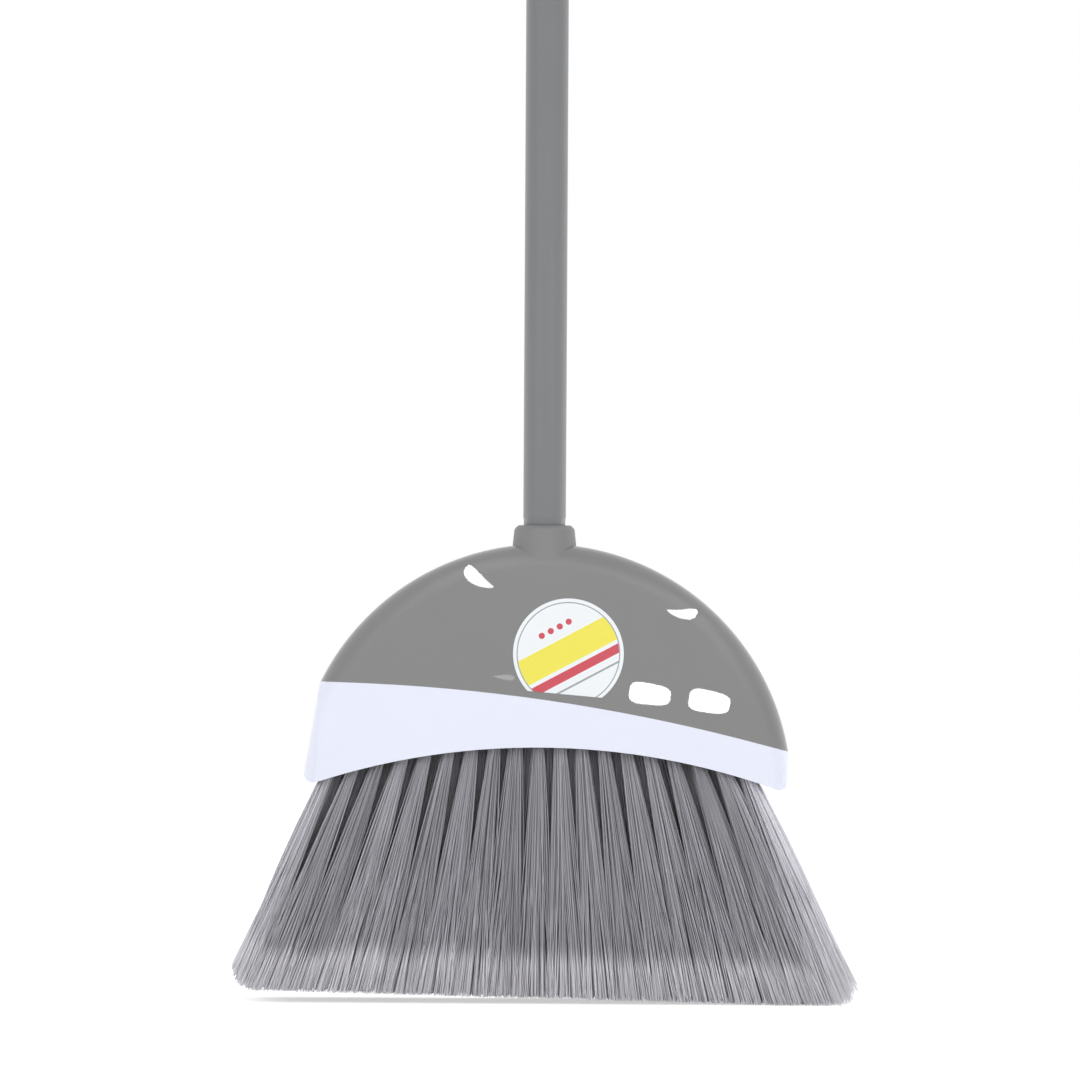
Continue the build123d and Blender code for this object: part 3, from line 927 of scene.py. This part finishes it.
def bristle_tree():
    """Tree that grows a column of tufts: many thin filaments from each root point to the trimmed tips."""
    tree, given = new_tree(
        "Bristle tufts",
        {
            "Filaments": "Int",
            "Width": "Float",
            "Root Reach": "Float",
            "Tip Reach": "Float",
            "Tip Depth": "Float",
            "Bow": "Float",
            "Flare": "Float",
            "Ragged": "Float",
            "Flag": "Float",
            "Seed": "Int",
            "Material": "Material",
        },
    )
    points = new_output(tree, "GeometryNodeMeshToPoints", {"Mesh": given["Geometry"]})
    points = store(points, "tuft_shade", random_value(0.0, TUFT_SHADE, given["Seed"], salt=0))
    many = {"Geometry": points, "Amount": given["Filaments"]}
    points = new_output(tree, "GeometryNodeDuplicateElements", many, domain="POINT")
    lines = bend_filaments(plan_filaments(points, given))
    thin = ramp(read(tree, "from_tip"), 0.0, given["Flag"], TIP_WIDTH, 1.0, "LINEAR")
    ring = new_output(tree, "GeometryNodeCurvePrimitiveCircle", {"Resolution": 3, "Radius": 1.0})
    sweep = {"Curve": lines, "Profile Curve": ring, "Scale": given["Width"] * 0.5 * thin, "Fill Caps": True}
    return end_tree(new_output(tree, "GeometryNodeCurveToMesh", sweep), given["Material"])


def arch_height(slope, lift):
    """Height at which a fan line of that slope crosses the arch raised by lift."""
    centre = (ARCH_CROWN[0], ARCH_CROWN[1] - ARCH_RADIUS)
    run = slope * FAN_APEX_Z - centre[0]
    a = 1 + slope**2
    b = slope * run + centre[1]
    c = run**2 + centre[1] ** 2 - (ARCH_RADIUS + lift) ** 2
    return (b + math.sqrt(b**2 - a * c)) / a


def tuft_roots(column):
    """Root point and slope of each tuft in a column; every second row is one tuft shorter."""
    for row in range(TUFT_ROWS):
        between = row % 2 == 1
        if between and column == TUFT_COLUMNS - 1:
            continue
        shift = ROW_STAGGER if between else -ROW_STAGGER
        slope_x = (column - (TUFT_COLUMNS - 1) / 2 + shift) * FAN_STEP
        slope_y = (row - (TUFT_ROWS - 1) / 2) * ROW_STEP
        z = arch_height(slope_x, BLOCK_UNDERSIDE)
        root = Vector((slope_x * (FAN_APEX_Z - z), slope_y * (ROW_APEX_Z - z), z))
        yield root, Vector((slope_x, slope_y, 0))


def thread_tree():
    """Tree that winds a thread round a screw's core, fading out at both ends."""
    tree, given = new_tree(
        "Screw thread",
        {
            "Turns": "Float",
            "Pitch": "Float",
            "Core Radius": "Float",
            "Depth": "Float",
            "Start": "Float",
            "Material": "Material",
        },
    )
    turns, pitch, core = given["Turns"], given["Pitch"], given["Core Radius"]
    coil = {"Resolution": 48, "Rotations": turns, "Start Radius": core, "End Radius": core}
    spiral = new_output(tree, "GeometryNodeCurveSpiral", {**coil, "Height": turns * pitch})
    wound = new_output(tree, "GeometryNodeSetCurveNormal", {"Curve": spiral}, mode="Z_UP")
    along = new_output(tree, "GeometryNodeSplineParameter", key="Factor")
    fade = ramp(calc("MINIMUM", along, 1.0 - along), 0.0, THREAD_FADE, THREAD_START, 1.0)
    sizes = {
        "Bottom Width": pitch * THREAD_FOOT,
        "Top Width": pitch * THREAD_CREST,
        "Height": given["Depth"] * 2.0,
        "Offset": 0.0,
    }
    section = new_output(tree, "GeometryNodeCurvePrimitiveQuadrilateral", sizes, mode="TRAPEZOID")
    upright = {"Geometry": section, "Rotation": (0, 0, math.pi / 2)}
    section = new_output(tree, "GeometryNodeTransform", upright)
    sweep = {"Curve": wound, "Profile Curve": section, "Scale": fade, "Fill Caps": True}
    ridge = new_output(tree, "GeometryNodeCurveToMesh", sweep)
    lift = combine(0.0, 0.0, given["Start"])
    ridge = new_output(tree, "GeometryNodeTransform", {"Geometry": ridge, "Translation": lift})
    join = add_node(tree, "GeometryNodeJoinGeometry", {0: given["Geometry"]})
    fill_node(join, {0: ridge})
    return end_tree(Output(join.outputs[0]), given["Material"])


class BROOM_OT_handle(bpy.types.Operator):
    """Turn the tube handle and finish the hanging eye on its end"""

    bl_idname = "broom.handle"
    bl_label = "Handle and hanging eye"

    def execute(self, context):
        settings = context.scene.broom_handle
        outer = tube_high.x
        foot, top = tube_low.z, tube_high.z
        neck = settings.neck_radius
        neck_z = foot + settings.neck_length
        wall = settings.wall
        edge = wall / 3
        profile = [
            (neck - wall, foot),
            (neck - edge, foot),
            (neck, foot + edge),
            (neck, neck_z),
            (neck + (outer - neck) / 2, neck_z + SHOULDER_MIDDLE),
            (outer, neck_z + SHOULDER_RISE),
            (outer, top - edge),
            (outer - edge, top),
            (outer - wall, top),
            (outer - wall, neck_z + SHOULDER_RISE),
            (neck - wall, neck_z),
        ]
        coat = coated_tube("tube_coat", settings.coat)
        tube = add_object("handle_tube", turned_mesh("handle_tube", profile, settings.tube_sides), coat)
        finish_piece(tube, "handle", "pole_coat", "pole_tube")
        moulding = moulded_plastic(
            "end_moulding", settings.moulding, rough=0.45, coat=0.0, grain_scale=1300.0, relief=0.00005
        )
        eye_copy = merged_copy("hang_cap")
        join_flats(eye_copy)
        eye = finished_solid(eye_copy, "hanging_eye", moulding, EYE_ROUND, WELD)
        finish_piece(eye, "handle", "insert_plastic", "hang_cap")
        return {"FINISHED"}


class BROOM_OT_screw(bpy.types.Operator):
    """Wind the threaded screw end that the handle turns in by"""

    bl_idname = "broom.screw"
    bl_label = "Screw end"

    def execute(self, context):
        settings = context.scene.broom_handle
        seat, top, tip = tube_low.z, screw_high.z, screw_low.z
        core = screw_high.x - settings.thread_depth
        plug = settings.neck_radius - settings.wall - PLUG_FIT
        nose = tip + SCREW_NOSE
        profile = [
            (SCREW_HOLLOW, top),
            (plug - PLUG_EDGE, top),
            (plug, top - PLUG_EDGE),
            (plug, seat),
            (core, seat),
            (core, nose),
            (core - SCREW_TAPER, tip),
            (SCREW_VENT, tip),
            (SCREW_VENT, tip + SCREW_FLOOR),
            (SCREW_HOLLOW, tip + SCREW_FLOOR),
        ]
        base = add_object("screw_end_core", turned_mesh("screw_end_core", profile, sides=64))
        pitch = settings.thread_pitch
        values = {
            "Turns": (seat - nose - pitch) / pitch,
            "Pitch": pitch,
            "Core Radius": core,
            "Depth": settings.thread_depth,
            "Start": nose + pitch / 2,
            "Material": bpy.data.materials["end_moulding"],
        }
        screw = add_object("screw_end", grown_mesh(base, thread_tree(), values))
        finish_piece(screw, "screw_end", "insert_plastic", "thread_insert")
        return {"FINISHED"}


class BROOM_OT_head(bpy.types.Operator):
    """Finish the cap and the band, and dress the tuft block and its staples"""

    bl_idname = "broom.head"
    bl_label = "Cap, band and tuft block"

    def execute(self, context):
        settings = context.scene.broom_head
        shiny = moulded_plastic("cap_skin", settings.cap, rough=0.36, coat=1.0)
        cap_copy = head_copy("cap_shell")
        for face in turn_collar(cap_copy):
            face.material_index = 1
        cap = finished_solid(cap_copy, "cap", shiny, settings.edge_round)
        # Painted reflection: the satin collar gets a lighter grey than the cap in place of the coat's
        # reflection
        cap.data.materials.append(moulded_plastic("collar_skin", settings.collar, rough=0.5, coat=0.0))
        smooth_skin(cap)
        finish_piece(cap, "head", "cap_plastic", "cap_shell")
        pale = moulded_plastic("band_skin", settings.band, rough=0.34, coat=0.8, drift=0.015)
        band = finished_solid(head_copy("skirt_band"), "band", pale, settings.edge_round)
        smooth_skin(band)
        finish_piece(band, "head", "band_plastic", "skirt_band")
        dull = moulded_plastic(
            "block_moulding", settings.block, rough=0.55, coat=0.0, grain_scale=1100.0, relief=0.00008
        )
        bright = staple_metal("staple_wire", settings.staple)
        for node, material in (("tuft_block", dull), ("tuft_anchors", bright)):
            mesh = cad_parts[node].data
            mesh.materials.clear()
            mesh.materials.append(material)
        return {"FINISHED"}


class BROOM_OT_label(bpy.types.Operator):
    """Print the round label"""

    bl_idname = "broom.label"
    bl_label = "Round label"

    def execute(self, context):
        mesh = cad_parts["round_label"].data
        mesh.materials.clear()
        mesh.materials.append(printed_film("label_print", context.scene.broom_label))
        return {"FINISHED"}


class BROOM_OT_bristles(bpy.types.Operator):
    """Grow the bristle tufts, one column at a time"""

    bl_idname = "broom.bristles"
    bl_label = "Bristle tufts"

    def execute(self, context):
        settings = context.scene.broom_bristles
        tree = bristle_tree()
        values = {
            "Filaments": settings.filaments,
            "Width": settings.width,
            "Root Reach": settings.root_reach,
            "Tip Reach": settings.tip_reach,
            "Tip Depth": settings.tip_depth,
            "Bow": settings.bow,
            "Flare": settings.flare,
            "Ragged": settings.ragged,
            "Flag": settings.flag,
            "Material": bristle_fibre("bristle_fibre", settings),
        }
        for column in range(TUFT_COLUMNS):
            name = f"bristles_{column + 1:02d}"
            roots = list(tuft_roots(column))
            base_mesh = bpy.data.meshes.new(f"{name}_roots")
            base_mesh.from_pydata([root for root, _ in roots], [], [])
            slopes = base_mesh.attributes.new("slope", "FLOAT_VECTOR", "POINT")
            for item, (_, slope) in zip(slopes.data, roots):
                item.vector = slope
            base = add_object(f"{name}_roots", base_mesh)
            mesh = grown_mesh(base, tree, {**values, "Seed": settings.seed + SEED_STEP * column})
            mesh.shade_smooth()
            finish_piece(add_object(name, mesh), "head", "bristle_fibre", f"tufts_{column + 1:02d}")
        return {"FINISHED"}


def cap_surface(x, z):
    """Point and outward direction of the cap's front at a place seen from the front."""
    lean, up = head_axes(-1)
    rise = (z - DOME_CENTRE_Z) / math.cos(DISC_TILT)
    far = math.hypot(x, rise)
    flat = DOME_RADIUS - RIM_RADIUS
    turn = math.asin(min(max((far - flat) / RIM_RADIUS, 0.0), CARD_STEEPEST))
    off = Vector((x, 0, 0)) + up * rise
    normal = lean * math.cos(turn) + off / far * math.sin(turn)
    depth = DISC_HALF - RIM_RADIUS * (1 - math.cos(turn))
    return Vector((0, 0, DOME_CENTRE_Z)) + lean * depth + off, normal.normalized()


def glint_card(name, viewpoint, reach, centre, size, slant, taper, bend, square, material):
    """Small bright card that the cap's gloss shows at one place, with a rounded or pointed outline."""
    rings, steps = 24, 96
    length, width = size
    corners = []
    for ring in range(rings + 1):
        for i in range(steps):
            angle = 2 * math.pi * i / steps
            c, s = math.cos(angle), math.sin(angle)
            along = math.copysign(abs(c) ** (2 / square), c)
            across = math.copysign(abs(s) ** (2 / square), s) * (1 + taper * along) / (1 + abs(taper))
            u, v = along * length / 2 * ring / rings, across * width / 2 * ring / rings
            v += bend * ((2 * u / length) ** 2 - 0.5)
            x = centre[0] + u * math.cos(slant) - v * math.sin(slant)
            z = centre[1] + u * math.sin(slant) + v * math.cos(slant)
            point, normal = cap_surface(x, z)
            corners.append(point + (point - viewpoint).normalized().reflect(normal) * reach)
    faces = []
    for ring in range(rings):
        for i in range(steps):
            low, high = ring * steps + i, ring * steps + (i + 1) % steps
            faces.append((low, high, high + steps, low + steps))
    mesh = bpy.data.meshes.new(name)
    mesh.from_pydata(corners, [], faces)
    card = add_object(name, mesh, material)
    for ray in ("camera", "diffuse", "transmission", "volume_scatter", "shadow"):
        setattr(card, f"visible_{ray}", False)


def card_glow(name, strength):
    """Glow of a small studio card."""
    black = (0, 0, 0, 1)
    material, _, _ = new_material(name, base_color=black, emission_color=WHITE, emission_strength=strength)
    return material


def lamp(name, place, power):
    """Large square lamp that faces the broom's head."""
    light = bpy.data.lights.new(name, "AREA")
    light.shape = "SQUARE"
    light.size = LAMP_SIZE
    light.energy = power
    bulb = bpy.data.objects.new(name, light)
    bulb.location = place
    bulb.rotation_euler = (Vector(LAMP_TARGET) - Vector(place)).to_track_quat("-Z", "Y").to_euler()
    bulb.visible_glossy = False
    bpy.context.scene.collection.objects.link(bulb)


def shown_white(tree):
    """Mask of the rays that show the backdrop: from the camera, in gloss or through something clear."""
    path = add_node(tree, "ShaderNodeLightPath").outputs
    seen, gloss, clear = (Output(path[f"Is {kind} Ray"]) for kind in ("Camera", "Glossy", "Transmission"))
    return calc("MAXIMUM", seen, calc("MAXIMUM", gloss, clear))


def plain_white(name, lift):
    """Pale studio surface that shows white to the camera and in gloss, and still takes a shadow."""
    material, tree, shader = new_material(name, roughness=0.9, specular_ior_level=0.0, emission_color=WHITE)
    pale = mix_colours(grain(tree, scale=40.0), (0.86, 0.86, 0.86, 1), (0.9, 0.9, 0.9, 1))
    fill_node(shader, {"Base Color": pale, "Emission Strength": shown_white(tree) * lift})
    return material


class BROOM_OT_stage(bpy.types.Operator):
    """Set the floor, the backdrop, the lamps and the camera"""

    bl_idname = "broom.stage"
    bl_label = "Studio"

    def execute(self, context):
        settings = context.scene.broom_stage
        scene = context.scene
        scene.view_settings.view_transform = "Standard"

        world = bpy.data.worlds.new("studio_sky")
        world.use_nodes = True
        scene.world = world
        strength = ramp(shown_white(world.node_tree), 0.0, 1.0, settings.sky, 1.0, "LINEAR")
        fill_node(world.node_tree.nodes["Background"], {"Color": WHITE, "Strength": strength})

        corners = [(x * FLOOR_HALF, y * FLOOR_HALF, 0) for x, y in ((-1, -1), (1, -1), (1, 1), (-1, 1))]
        floor_mesh = bpy.data.meshes.new("floor")
        floor_mesh.from_pydata(corners, [], [(0, 1, 2, 3)])
        add_object("floor", floor_mesh, plain_white("studio_floor", FLOOR_LIFT))

        viewpoint = Vector((settings.frame_x, -settings.camera_distance, settings.frame_z))
        camera = bpy.data.cameras.new("camera")
        head_distance = settings.camera_distance - DISC_HALF
        camera.lens = camera.sensor_width * head_distance / settings.frame_width
        camera.clip_end = 50.0
        view = bpy.data.objects.new("camera", camera)
        view.location = viewpoint
        view.rotation_euler = (math.pi / 2, settings.roll, 0)
        scene.collection.objects.link(view)
        scene.camera = view

        lamp("key_lamp", (-1.7, -2.4, 1.0), settings.key)
        lamp("fill_lamp", (1.8, -2.3, 0.8), settings.fill)
        lamp("back_lamp_right", (2.2, 1.3, 0.8), settings.back)
        lamp("back_lamp_left", (-2.2, 1.3, 0.8), settings.back / 2)

        bright = card_glow("bright_card", settings.glint)
        faint = card_glow("faint_card", settings.glint / 5)
        far, near = 4.0, 1.0

        # Name, distance, place on the cap, size, slant in degrees, taper, bend, squareness and glow of each
        cards = (
            ("left_shoulder_card", far, (-0.0337, 0.2150), (0.0175, 0.0096), -35, -0.6, 0.0016, 2.4, bright),
            ("right_shoulder_card", far, (0.0708, 0.1981), (0.0158, 0.0074), -5, 0.6, 0.0014, 2.4, bright),
            ("long_card_left", near, (0.0545, 0.1562), (0.0215, 0.0120), -8, -0.1, 0.0, 3.5, bright),
            ("long_card_right", near, (0.0850, 0.1525), (0.0215, 0.0125), -10, -0.1, 0.0, 3.5, bright),
            ("long_card_end", near, (-0.0205, 0.1645), (0.0110, 0.0040), -4, 0.7, 0.0, 2.2, faint),
        )
        for name, reach, centre, size, slant, *outline in cards:
            glint_card(name, viewpoint, reach, centre, size, math.radians(slant), *outline)
        return {"FINISHED"}


class BROOM_PT_panel(bpy.types.Panel):
    """Sidebar list of the broom's pieces and settings"""

    bl_idname = "BROOM_PT_panel"
    bl_label = "Broom"
    bl_space_type = "VIEW_3D"
    bl_region_type = "UI"
    bl_category = "Broom"

    def draw(self, context):
        for operator, settings in panel_rows:
            box = self.layout.box()
            box.operator(operator.bl_idname)
            group = getattr(context.scene, settings, None)
            if group:
                for key in group.__annotations__:
                    box.prop(group, key)


groups = {
    "broom_handle": BroomHandle,
    "broom_head": BroomHead,
    "broom_label": BroomLabel,
    "broom_bristles": BroomBristles,
    "broom_stage": BroomStage,
}

# The screw end shares the handle's settings, so its row shows none
panel_rows = (
    (BROOM_OT_handle, "broom_handle"),
    (BROOM_OT_screw, ""),
    (BROOM_OT_head, "broom_head"),
    (BROOM_OT_label, "broom_label"),
    (BROOM_OT_bristles, "broom_bristles"),
    (BROOM_OT_stage, "broom_stage"),
)
classes = (*groups.values(), *[operator for operator, _ in panel_rows], BROOM_PT_panel)


def register():
    """Register the classes and hang their settings on the scene."""
    for cls in classes:
        bpy.utils.register_class(cls)
    for name, group in groups.items():
        setattr(bpy.types.Scene, name, PointerProperty(type=group))


def unregister():
    """Take the settings and the classes away again."""
    for name in groups:
        delattr(bpy.types.Scene, name)
    for cls in reversed(classes):
        bpy.utils.unregister_class(cls)


def main():
    """Build every piece and the studio."""
    register()
    bpy.ops.broom.handle()
    bpy.ops.broom.screw()
    bpy.ops.broom.head()
    bpy.ops.broom.label()
    bpy.ops.broom.bristles()
    bpy.ops.broom.stage()


if __name__ == "__main__":
    main()
